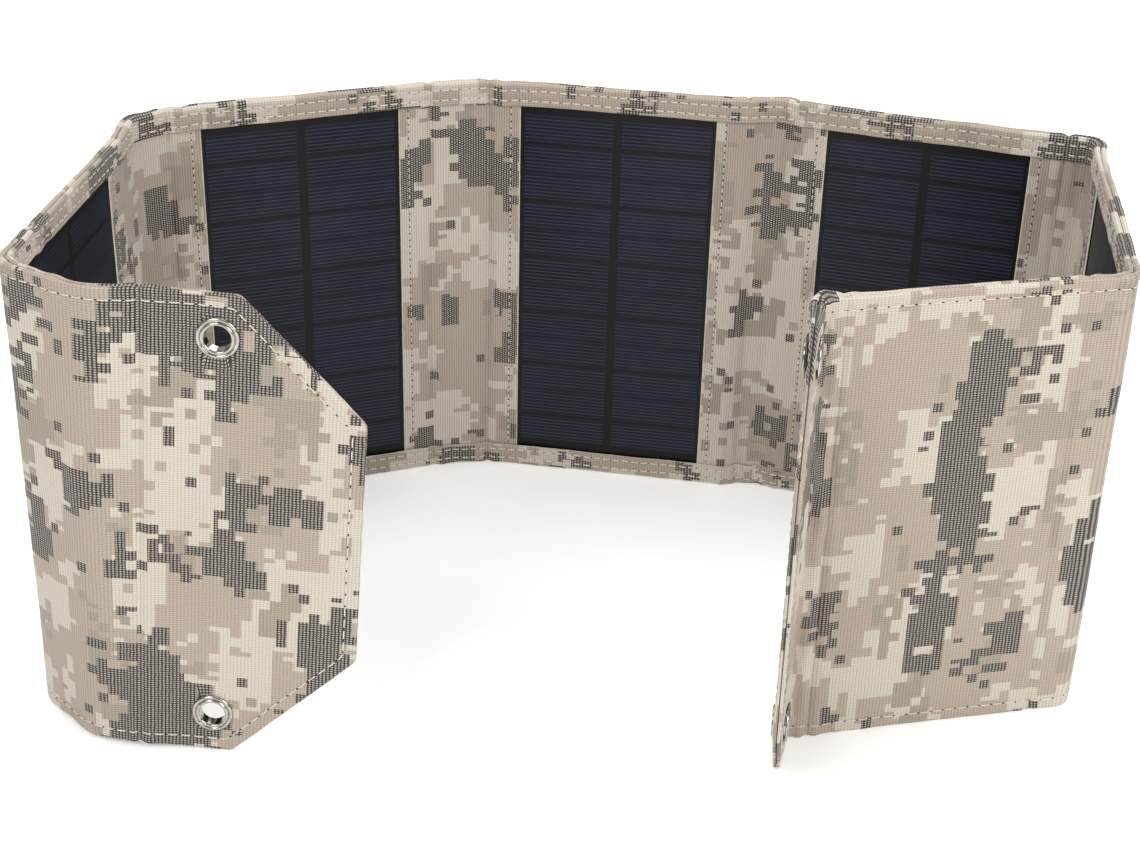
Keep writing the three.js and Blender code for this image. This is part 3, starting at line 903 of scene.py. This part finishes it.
class Stitching:
    """Collects the stitches of one run: short flattened threads whose ends dive into the cloth,
    with a dark disc at each end as painted shade of the needle hole."""

    # rings of a thread: share of its length from its middle, height, and share of its width
    RINGS = [(-0.5, -0.30, 0.5), (-0.36, 0.10, 0.95), (-0.12, 0.24, 1.0),
             (0.12, 0.24, 1.0), (0.36, 0.10, 0.95), (0.5, -0.30, 0.5)]
    HOLE_RINGS = [(-0.10, 0.26), (0.03, 0.36), (0.06, 0.2)]  # height and radius
    THREAD_DEEP = 0.17

    def __init__(self):
        self.points, self.faces, self.slots = [], [], []

    def add_tube(self, rings, slot):
        faces = tube_faces(len(rings), THREAD_SIDES, len(self.points))
        for ring in rings:
            self.points.extend(ring)
        self.faces.extend(faces)
        self.slots.extend([slot] * len(faces))

    def add_row(self, points, normals, pitch, width=0.55, cover=0.80, dot=1.0):
        """Stitches at equal steps along a path over the cloth."""
        walk = walk_of(points)
        count = max(1, int(round(walk[-1] / pitch)))
        pitch = walk[-1] / count

        for n in range(count):
            middle = (n + 0.5) * pitch + chance.uniform(-0.12, 0.12)
            up = unit(between(middle, walk, normals))
            ahead = unit(between(middle + 0.4, walk, points) - between(middle - 0.4, walk, points))
            side = np.cross(up, ahead)
            ahead = ahead + side * chance.uniform(-0.05, 0.05)
            side = unit(np.cross(up, ahead))
            length = pitch * cover * chance.uniform(0.94, 1.04)
            rings = []
            for share, height, fat in self.RINGS:
                centre = between(middle + share * length, walk, points) + up * height
                rings.append([centre + side * math.cos(turn) * width / 2 * fat
                              + up * math.sin(turn) * self.THREAD_DEEP * fat for turn in THREAD_TURNS])
            self.add_tube(rings, 0)
            # painted shade of the needle hole: a small dark disc at each end of the stitch
            for end in (-1, 1):
                hole = between(middle + end * pitch * 0.47, walk, points) + up * 0.02
                self.add_tube([[hole + up * height + ahead * math.cos(turn) * radius * dot
                                + side * math.sin(turn) * radius * dot for turn in THREAD_TURNS]
                               for height, radius in self.HOLE_RINGS], 1)

    def finish(self, name, run):
        finishes = [THREAD, NEEDLE_HOLE_SHADE]
        made = piece(name, np.array(self.points), self.faces, finishes, sharp=80, slots=self.slots)
        join_body(made, run)


def edge_rows(sewing, run):
    """The rows along the top and bottom: one on the outer face, two on the turned hem."""
    u = np.linspace(0.4, run.long - 0.4, max(12, int(run.long / 1.2)))
    rows = [(OUTER_ROW, OUTER_PITCH, 0.5, 1.0)] + [(walk, HEM_PITCH, 0.62, 0.62) for walk in HEM_WALKS]
    for t, pitch, width, dot in rows:
        for place in (t, TALL - t):
            points, normals = cover_points(run, u, np.full_like(u, place))
            sewing.add_row(points, normals, pitch, width, 0.84, dot)


def window_rows(sewing, run):
    """The rows beside the cell window."""
    z = np.linspace(HEM + 1.5, TALL - HEM - 1.5, 120)
    for side in (-1, 1):
        u = np.full_like(z, run.long / 2 + side * (CELL_WIDE / 2 + WINDOW_ROW))
        points, normals = lining_points(run, u, z)
        sewing.add_row(points, normals, WINDOW_PITCH, 0.42, 0.74)


for number in range(1, 7):
    run = STIFF[number]
    cover_of(run, f"panel_{number}_cover_fabric", f"cover_{number}")
    sewing = Stitching()
    edge_rows(sewing, run)
    if number < 6:
        lining_of(run, f"window_{number}", [f"panel_{number}_window_fabric"], window=True)
        laminate_of(run, number)
        window_rows(sewing, run)
    else:
        lining_of(run, "lining_6", ["panel_6_lining_fabric"])
    sewing.finish(f"stitching_{number}", run)

for index, fold in enumerate(FOLDS):
    short = fold.name.replace("fold_", "")
    cover_of(fold, f"fold_strip_{short}", f"fold_cover_{short}")
    lining_of(fold, f"fold_lining_{short}")
    sewing = Stitching()
    edge_rows(sewing, fold)
    sewing.finish(f"fold_stitching_{short}", fold)
    if 1 <= index <= 5:
        ribbon_of(fold, STIFF[index], STIFF[index + 1], index)


# ---- flaps ----
def flap_ring(shape, inward):
    """The flap's outline moved in by `inward`, as (distance from the free end, z), from the fold's
    foot, round the free end, to the fold's head, with its corners eased. Also how many of its
    points come before the free end."""
    long, along, up = shape["long"], shape["along"], shape["up"]
    level = 1 + inward * math.hypot(along, up) / (along * up)
    foot = np.array([along * (level - inward / up), inward])
    heel = np.array([inward, up * (level - inward / along)])
    straight, chamfer = int((long - along) / 1.6), 36
    lower = [foot + (np.array([long, inward]) - foot) * (1 - k / straight) for k in range(straight)]
    lower += [foot + (heel - foot) * k / chamfer for k in range(chamfer)]
    end = [(inward, heel[1] + (TALL - 2 * heel[1]) * share) for share in ROW_SHARES]
    upper = [(e, TALL - z) for e, z in reversed(lower)]
    ring = np.array([*lower, *end, *upper])
    ease(ring)
    return ring, len(lower)


def flap_grid(ring, lower, shares):
    """A grid over the flap inside a ring: columns from the fold to the free end."""
    heads = ring[::-1]
    return np.array([ring[i] + (heads[i] - ring[i]) * shares[:, None] for i in range(lower + 1)])


def squeezed(shape, e, y):
    """The flap gets thinner past its fold, where it has only a plastic sheet inside."""
    share = np.clip((shape["long"] - 3 - np.asarray(e, float)) / 16, 0, 1)
    thin = 1 - (1 - FLAP_THIN) * share * share * (3 - 2 * share)
    return THICK / 2 + (y - THICK / 2) * thin


def cut_for_eyelets(places, holes, radius, faces):
    """Takes out the faces under each eyelet and rounds the cut to its barrel."""
    near = np.min([np.hypot(places[:, 0] - e, places[:, 1] - z) for e, z in holes], axis=0)
    kept = [f for f in faces if min(near[v] for v in f) > radius - 0.7]
    inside = {v for f in faces if min(near[v] for v in f) <= radius - 0.7 for v in f}
    moved = places.copy()
    for v in inside & {v for f in kept for v in f}:
        centre = np.array(min(holes, key=lambda h: math.hypot(places[v, 0] - h[0], places[v, 1] - h[1])))
        moved[v] = centre + unit(places[v] - centre) * radius
    return kept, moved


class Flap:
    """One end flap: hemmed cover, lining, plastic sheet, stitching and two eyelets."""

    def __init__(self, run, shape, side):
        self.run, self.shape, self.side = run, shape, side
        e, z = shape["eyelet"]
        self.holes = [(e, TALL - z), (e, z)]
        self.reference = flap_ring(shape, RIM)[0]
        self.outward = unit(flap_ring(shape, 0.0)[0] - self.reference)
        self.area = shape["long"] * TALL - shape["along"] * shape["up"]

    def along(self, e):
        """Distance along the run, from the distance to the free end."""
        return e if self.side == "left" else self.run.long - e

    def printed(self, walk):
        """Where a ring lies on the cloth before the hem is turned."""
        return self.reference + self.outward * (RIM - walk)

    def height(self, printed, walk):
        return outer_height(self.run.start + self.along(printed[:, 0]), printed[:, 1], walk)

    def sway(self, printed, z):
        reach = bell(np.maximum(np.minimum(printed[:, 1], TALL - printed[:, 1]) - 3, 0), 8)
        level = rim_sway(self.run.start + self.along(printed[:, 0]), printed[:, 1])
        return reach * level * np.clip(np.minimum(z, TALL - z) / RIM, 0, 1)

    def cover(self):
        rings = [flap_ring(self.shape, inward)[0] for inward in EDGE_IN]
        count, lower = len(rings[0]), flap_ring(self.shape, FACE_INSET)[1]
        grid = flap_grid(rings[-1], lower, ROW_SHARES)
        columns, rows = grid.shape[:2]
        over = columns * rows
        places = np.concatenate([*rings, grid.reshape(-1, 2)])
        printed = [self.printed(w) if w < RIM else ring for ring, w in zip(rings, EDGE_WALK)]
        printed = np.concatenate([*printed, grid.reshape(-1, 2)])

        def spread(values, on_grid):
            return np.concatenate([np.repeat(values, count), np.full(over, on_grid)])

        edge = len(EDGE_IN)
        y, walk = spread(EDGE_Y, THICK), spread(EDGE_WALK, FAR_IN)
        out, outwards = spread(SECTION_OUT[:edge], 1.0), spread(-SECTION_UP[:edge], 0.0)
        away = np.concatenate([np.tile(self.outward, (edge, 1)), np.zeros((over, 2))])
        base, last = edge * count, (edge - 1) * count
        same = {base + i * rows: last + i for i in range(columns)}
        same.update({base + i * rows + rows - 1: last + count - 1 - i for i in range(columns)})
        same.update({base + (columns - 1) * rows + j: last + lower + j for j in range(rows)})
        faces = grid_faces(edge, count)
        for face in grid_faces(columns, rows):
            faces.append(tuple(same.get(base + v, base + v) for v in reversed(face)))
        kept, places = cut_for_eyelets(places, self.holes, EYELET_CUT, faces)
        height = self.height(printed, walk)
        places_e = places[:, 0] + away[:, 0] * outwards * height
        z = places[:, 1] + away[:, 1] * outwards * height
        z = z + self.sway(printed, places[:, 1])
        y = squeezed(self.shape, places[:, 0], y + out * height)
        points = self.run.place(self.along(places_e), y, z)
        s = self.run.start + self.along(printed[:, 0])
        facing = self.run.facing(np.zeros(len(points)), out, 0.0)
        cloth = print_places(s, printed[:, 1], 0)
        made = cloth_piece(f"flap_{self.side}_cover", points, kept, cloth, CLOTH, facing, OUTER, self.run)
        stand_for(made, "outer_fabric", f"flap_{self.side}_cover_fabric")

    def layer(self, name, node, inset, y, thick, material, slot_name):
        """The lining behind the hem, or the plastic sheet inside."""
        ring, lower = flap_ring(self.shape, inset)
        shares = (LINING_ROWS - LINING_ROWS[0]) / (LINING_ROWS[-1] - LINING_ROWS[0])
        grid = flap_grid(ring, lower, shares)
        faces = grid_faces(*grid.shape[:2])
        faces, places = cut_for_eyelets(grid.reshape(-1, 2), self.holes, EYELET_CUT, faces)
        u = self.along(places[:, 0])
        height = inner_height(self.run.start + u, places[:, 1])
        points = self.run.place(u, squeezed(self.shape, places[:, 0], y - height), places[:, 1])
        facing = -self.run.facing(u, np.ones_like(u), 0)
        made = cloth_piece(name, points, faces, print_places(self.run.start + u, places[:, 1], 1), thick,
                           facing, material, self.run)
        stand_for(made, slot_name, node)
        return made

    def linings(self):
        made = self.layer(f"flap_{self.side}_lining", f"flap_{self.side}_lining_fabric", 1.2, INNER_FACE,
                          0.4, INNER, "inner_fabric")
        self.layer(f"flap_{self.side}_sheet", f"flap_{self.side}_stiffener_sheet", 3.4, 2.0, 0.7, FIBRE,
                   "stiffener_board")

    def stitching(self):
        sewing = Stitching()
        rows = [(OUTER_ROW, OUTER_ROW, THICK, 1.0, OUTER_PITCH)]
        rows += [(row, walk, 0.0, -1.0, HEM_PITCH) for row, walk in zip(HEM_ROWS, HEM_WALKS)]
        for inward, walk, y, out, pitch in rows:
            path = flap_ring(self.shape, inward)[0]
            printed = self.printed(walk) if walk < RIM else path
            height = self.height(printed, np.full(len(path), walk))
            z = path[:, 1] + self.sway(printed, path[:, 1])
            u = self.along(path[:, 0])
            points = self.run.place(u, squeezed(self.shape, path[:, 0], y + out * height), z)
            facing = self.run.facing(u, np.full(len(u), out), 0.0)
            width, dot = (0.5, 1.0) if out > 0 else (0.62, 0.62)
            sewing.add_row(points, facing, pitch, width, 0.84, dot)
        sewing.finish(f"flap_{self.side}_stitching", self.run)

    def eyelets(self):
        for level, (e, z) in zip(("upper", "lower"), self.holes):
            u = float(self.along(e))
            front = float(squeezed(self.shape, e, THICK)) + 0.2
            back = float(squeezed(self.shape, e, 0.0))
            for profile, name, node in ((eyelet_profile(front, back), "ring", "eyelet"),
                                        (washer_profile(back), "washer", "eyelet_washer")):
                made = turned(self.run, u, z, profile, f"{name}_{self.side}_{level}", NICKEL)
                join_body(made, self.run)
                stand_for(made, "eyelet_nickel", f"{node}_{self.side}_{level}")


# ---- eyelets ----
def turned(run, u, z, profile, name, material, segments=72):
    """A ring turned about an axis that runs outward through the cloth."""
    centre = run.place(u, 0.0, z)
    out, up = run.facing(u, 1.0, 0.0), run.facing(u, 0.0, 1.0)
    side = np.cross(up, out)
    points = []
    for k in range(segments):
        turn = 2 * math.pi * k / segments
        ray = side * math.cos(turn) + up * math.sin(turn)
        points.extend(centre + ray * r + out * y for r, y in profile)
    rows = len(profile)
    faces = []
    for k in range(segments):
        for j in range(rows):
            a, b = k * rows + j, k * rows + (j + 1) % rows
            c = (k + 1) % segments * rows
            faces.append((a, b, c + (j + 1) % rows, c + j))
    made = piece(name, np.array(points), faces, material, sharp=55)
    mesh = bmesh.new()
    mesh.from_mesh(made.data)
    bmesh.ops.recalc_face_normals(mesh, faces=mesh.faces)
    mesh.to_mesh(made.data)
    mesh.free()
    return made


def eyelet_profile(front, back):
    """The eyelet's section: two rolled beads with a groove between, the barrel, and the end
    rolled over behind."""
    def bead(r, y, radius, begin, end):
        turns = np.linspace(begin, end, 12)
        return [(r - radius * math.cos(a), y + radius * math.sin(a)) for a in turns]

    inner = bead(5.7, front + 0.5, 0.7, 0, 2.5)
    groove = [(6.5, front + 0.5)]
    outer = bead(7.22, front + 0.12, 0.78, 0.75, 3.1)
    under = [(7.6, front - 0.05), (5.6, front - 0.05), (5.55, back)]
    roll = [(5.95 + 0.45 * math.cos(a), back - 0.95 - 0.4 * math.sin(a))
            for a in np.linspace(-0.6, math.pi, 9)]
    return inner + groove + outer + under + roll + [(5.0, back - 0.8)]


def washer_profile(back):
    dish = [(5.85, 0.0), (7.9, 0.0), (8.05, 0.22), (7.8, 0.5), (7.1, 0.66), (6.2, 0.68), (5.9, 0.5)]
    return [(r, back - 0.12 - y) for r, y in dish]


for flap in (Flap(STIFF[0], LEFT_FLAP, "left"), Flap(STIFF[-1], RIGHT_FLAP, "right")):
    flap.cover()
    flap.linings()
    flap.stitching()
    flap.eyelets()


# ---- pocket with the regulator on the sixth panel's inner side ----
def pouch_section(z, foot):
    """Across the pouch at one height: flange, side, belly, side, flange, as x and y."""
    rise = min(1.0, (z - foot) / 26.0)
    deep = 1.4 + 13.2 * math.sin(rise * math.pi / 2) ** 0.7
    deep -= 0.8 * max(0.0, (z - 120) / 38.0)
    corner = 3.4 * min(1.0, deep / 9)
    wall = -41.6
    half = [(-46.0, 0.3), (-43.2, 0.2), (wall - 0.7, -0.3), (wall, -1.2), (wall, -deep + corner)]
    half += [(wall + corner * (1 - math.cos(a)), -deep + corner * (1 - math.sin(a)))
             for a in np.linspace(0.3, math.pi / 2, 5)]
    half += [(-22.0, -deep - 0.25), (0.0, -deep - 0.35)]
    return np.array(half + [(-x, y) for x, y in reversed(half[:-1])])


def pouch():
    """The regulator's pouch: a bellied pocket sewn on at its sides and foot, open at the top."""
    run = STIFF[6]
    foot, head, columns = 12.0, 158.0, 85
    rows = np.concatenate([foot + np.array([0, 1.5, 3.5, 6, 9]), np.linspace(foot + 12, head - 12, 30),
                           head - np.array([9.5, 8.6, 8.0, 7.2, 5.8, 4.2, 2.6, 1.2, 0.4, 0.0])])
    points, places = [], []
    for z in rows:
        outline = pouch_section(z, foot)
        walk = walk_of(outline)
        step = np.linspace(0, walk[-1], columns)
        x, y = between(step, walk, outline).T
        loose = np.abs(x) < 41
        y = y + loose * (0.5 * drift(step, z, 16, 26, 9) + 0.25 * drift(step, z, 7, 9, 6))
        y = y + 0.35 * bell(head - z - 8.3, 0.8) - 0.25 * (z > head - 7.5)
        points.append(run.place(x + run.long / 2, np.minimum(y, 0.45), np.full_like(x, z)))
        places.append(print_places(step + 640, z + 40, 1))
    points, places = np.array(points), np.array(places)
    facing = -run.facing(np.full(points.shape[:2], run.long / 2), 1.0, 0.0)
    made = cloth_piece("pouch", points, grid_faces(len(rows), columns), places, 0.55, facing, INNER, run)
    stand_for(made, "outer_fabric", "pocket_pouch_fabric")
    sewing = Stitching()
    towards = -run.facing(np.full(80, run.long / 2), 1.0, 0.0)
    z = np.linspace(foot + 2, head - 2, 80)
    for column in (2, columns - 3):
        sewing.add_row(between(z, rows, points[:, column]), towards, HEM_PITCH)
    for row in (2, len(rows) - 9):
        path = points[row, 3:columns - 3]
        sewing.add_row(path, towards[:len(path)], HEM_PITCH)
    sewing.finish("pouch_stitching", run)


def softened(node, name, width, material, slot_name):
    """A hard part with its edges rounded over."""
    made = bpy.data.objects.new(name, frame["nodes"][node].data.copy())
    bpy.context.scene.collection.objects.link(made)
    mesh = bmesh.new()
    mesh.from_mesh(made.data)
    bmesh.ops.remove_doubles(mesh, verts=mesh.verts, dist=1e-6)
    bmesh.ops.dissolve_limit(mesh, angle_limit=math.radians(1), verts=mesh.verts, edges=mesh.edges)
    sharp = [e for e in mesh.edges if len(e.link_faces) == 2 and e.calc_face_angle() > math.radians(30)]
    bmesh.ops.bevel(mesh, geom=sharp, offset=width * MM, segments=3, profile=0.5, affect="EDGES",
                    clamp_overlap=True)
    for face in mesh.faces:
        face.smooth = True
    mesh.to_mesh(made.data)
    mesh.free()
    made.data.set_sharp_from_angle(angle=math.radians(40))
    made.data.materials.clear()
    made.data.materials.append(material)
    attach(made, frame["nodes"][node]["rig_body"])
    stand_for(made, slot_name, node)


pouch()
softened("regulator_housing", "case_body", 0.5, CASE, "regulator_case")
softened("regulator_lid", "case_lid", 0.5, CASE, "regulator_case")
softened("regulator_output_socket", "socket_shell", 0.12, TINNED, "socket_metal")

CARRIED_OVER = {"stiffener": FIBRE, "regulator_circuit_board": BOARD, "regulator_feed_ribbon": TINNED}
for node, made in frame["nodes"].items():
    for words, material in CARRIED_OVER.items():
        if words in node:
            made.data.materials.clear()
            made.data.materials.append(material)

# ---- floor, light and camera ----
FLOOR = grained("floor_paint", paint(243, 243, 242), paint(247, 247, 246), 0.9, 0.01, 0.0,
                Emission_Color=(1, 1, 1, 1), Emission_Strength=0.2)
FLOOR_HALF, FLOOR_AT = 40000, -0.2
corners = [(x * FLOOR_HALF, y * FLOOR_HALF, FLOOR_AT) for x, y in ((-1, -1), (1, -1), (1, 1), (-1, 1))]
piece("floor", corners, [(0, 1, 2, 3)], FLOOR)


def soft_light(name, place, aim, size, power):
    light = bpy.data.lights.new(name, "AREA")
    light.shape, light.size, light.size_y = "RECTANGLE", *size
    light.energy = power
    lamp = bpy.data.objects.new(name, light)
    lamp.location = place
    lamp.rotation_euler = (Vector(place) - Vector(aim)).to_track_quat("Z", "Y").to_euler()
    bpy.context.scene.collection.objects.link(lamp)


soft_light("key", (-1.1, -1.5, 1.9), (0, 0, 0.08), (1.3, 1.0), 31)
soft_light("fill", (1.5, -1.2, 1.2), (0, 0, 0.1), (1.4, 1.2), 24.5)
soft_light("top", (0.1, 0.5, 2.2), (0, 0.05, 0.0), (1.6, 1.2), 26)
soft_light("behind", (0.5, 1.7, 1.3), (0, 0, 0.12), (1.4, 1.0), 12)

world = bpy.data.worlds.new("studio")
bpy.context.scene.world = world
world.use_nodes = True
daylight = world.node_tree.nodes["Background"].inputs
daylight["Color"].default_value, daylight["Strength"].default_value = (1.0, 1.0, 1.0, 1), 0.42

FILM_WIDE = 36.0
FOCAL_SHARE = 2121.8 / 1140  # focal length as a share of the film's width
EYE_AT = (-0.006365, -0.760636, 0.5222)
LOOKS_DOWN, ROLL = math.radians(29.22), math.radians(1.47)
camera = bpy.data.cameras.new("camera")
camera.sensor_fit, camera.sensor_width = "HORIZONTAL", FILM_WIDE
camera.lens = FOCAL_SHARE * FILM_WIDE
camera.clip_start, camera.clip_end = 0.05, 30.0
eye = bpy.data.objects.new("camera", camera)
bpy.context.scene.collection.objects.link(eye)
aim = Matrix.Rotation(math.pi / 2 - LOOKS_DOWN, 4, "X") @ Matrix.Rotation(ROLL, 4, "Z")
eye.matrix_world = Matrix.Translation(EYE_AT) @ aim
bpy.context.scene.camera = eye
bpy.context.scene.view_settings.view_transform = "Standard"
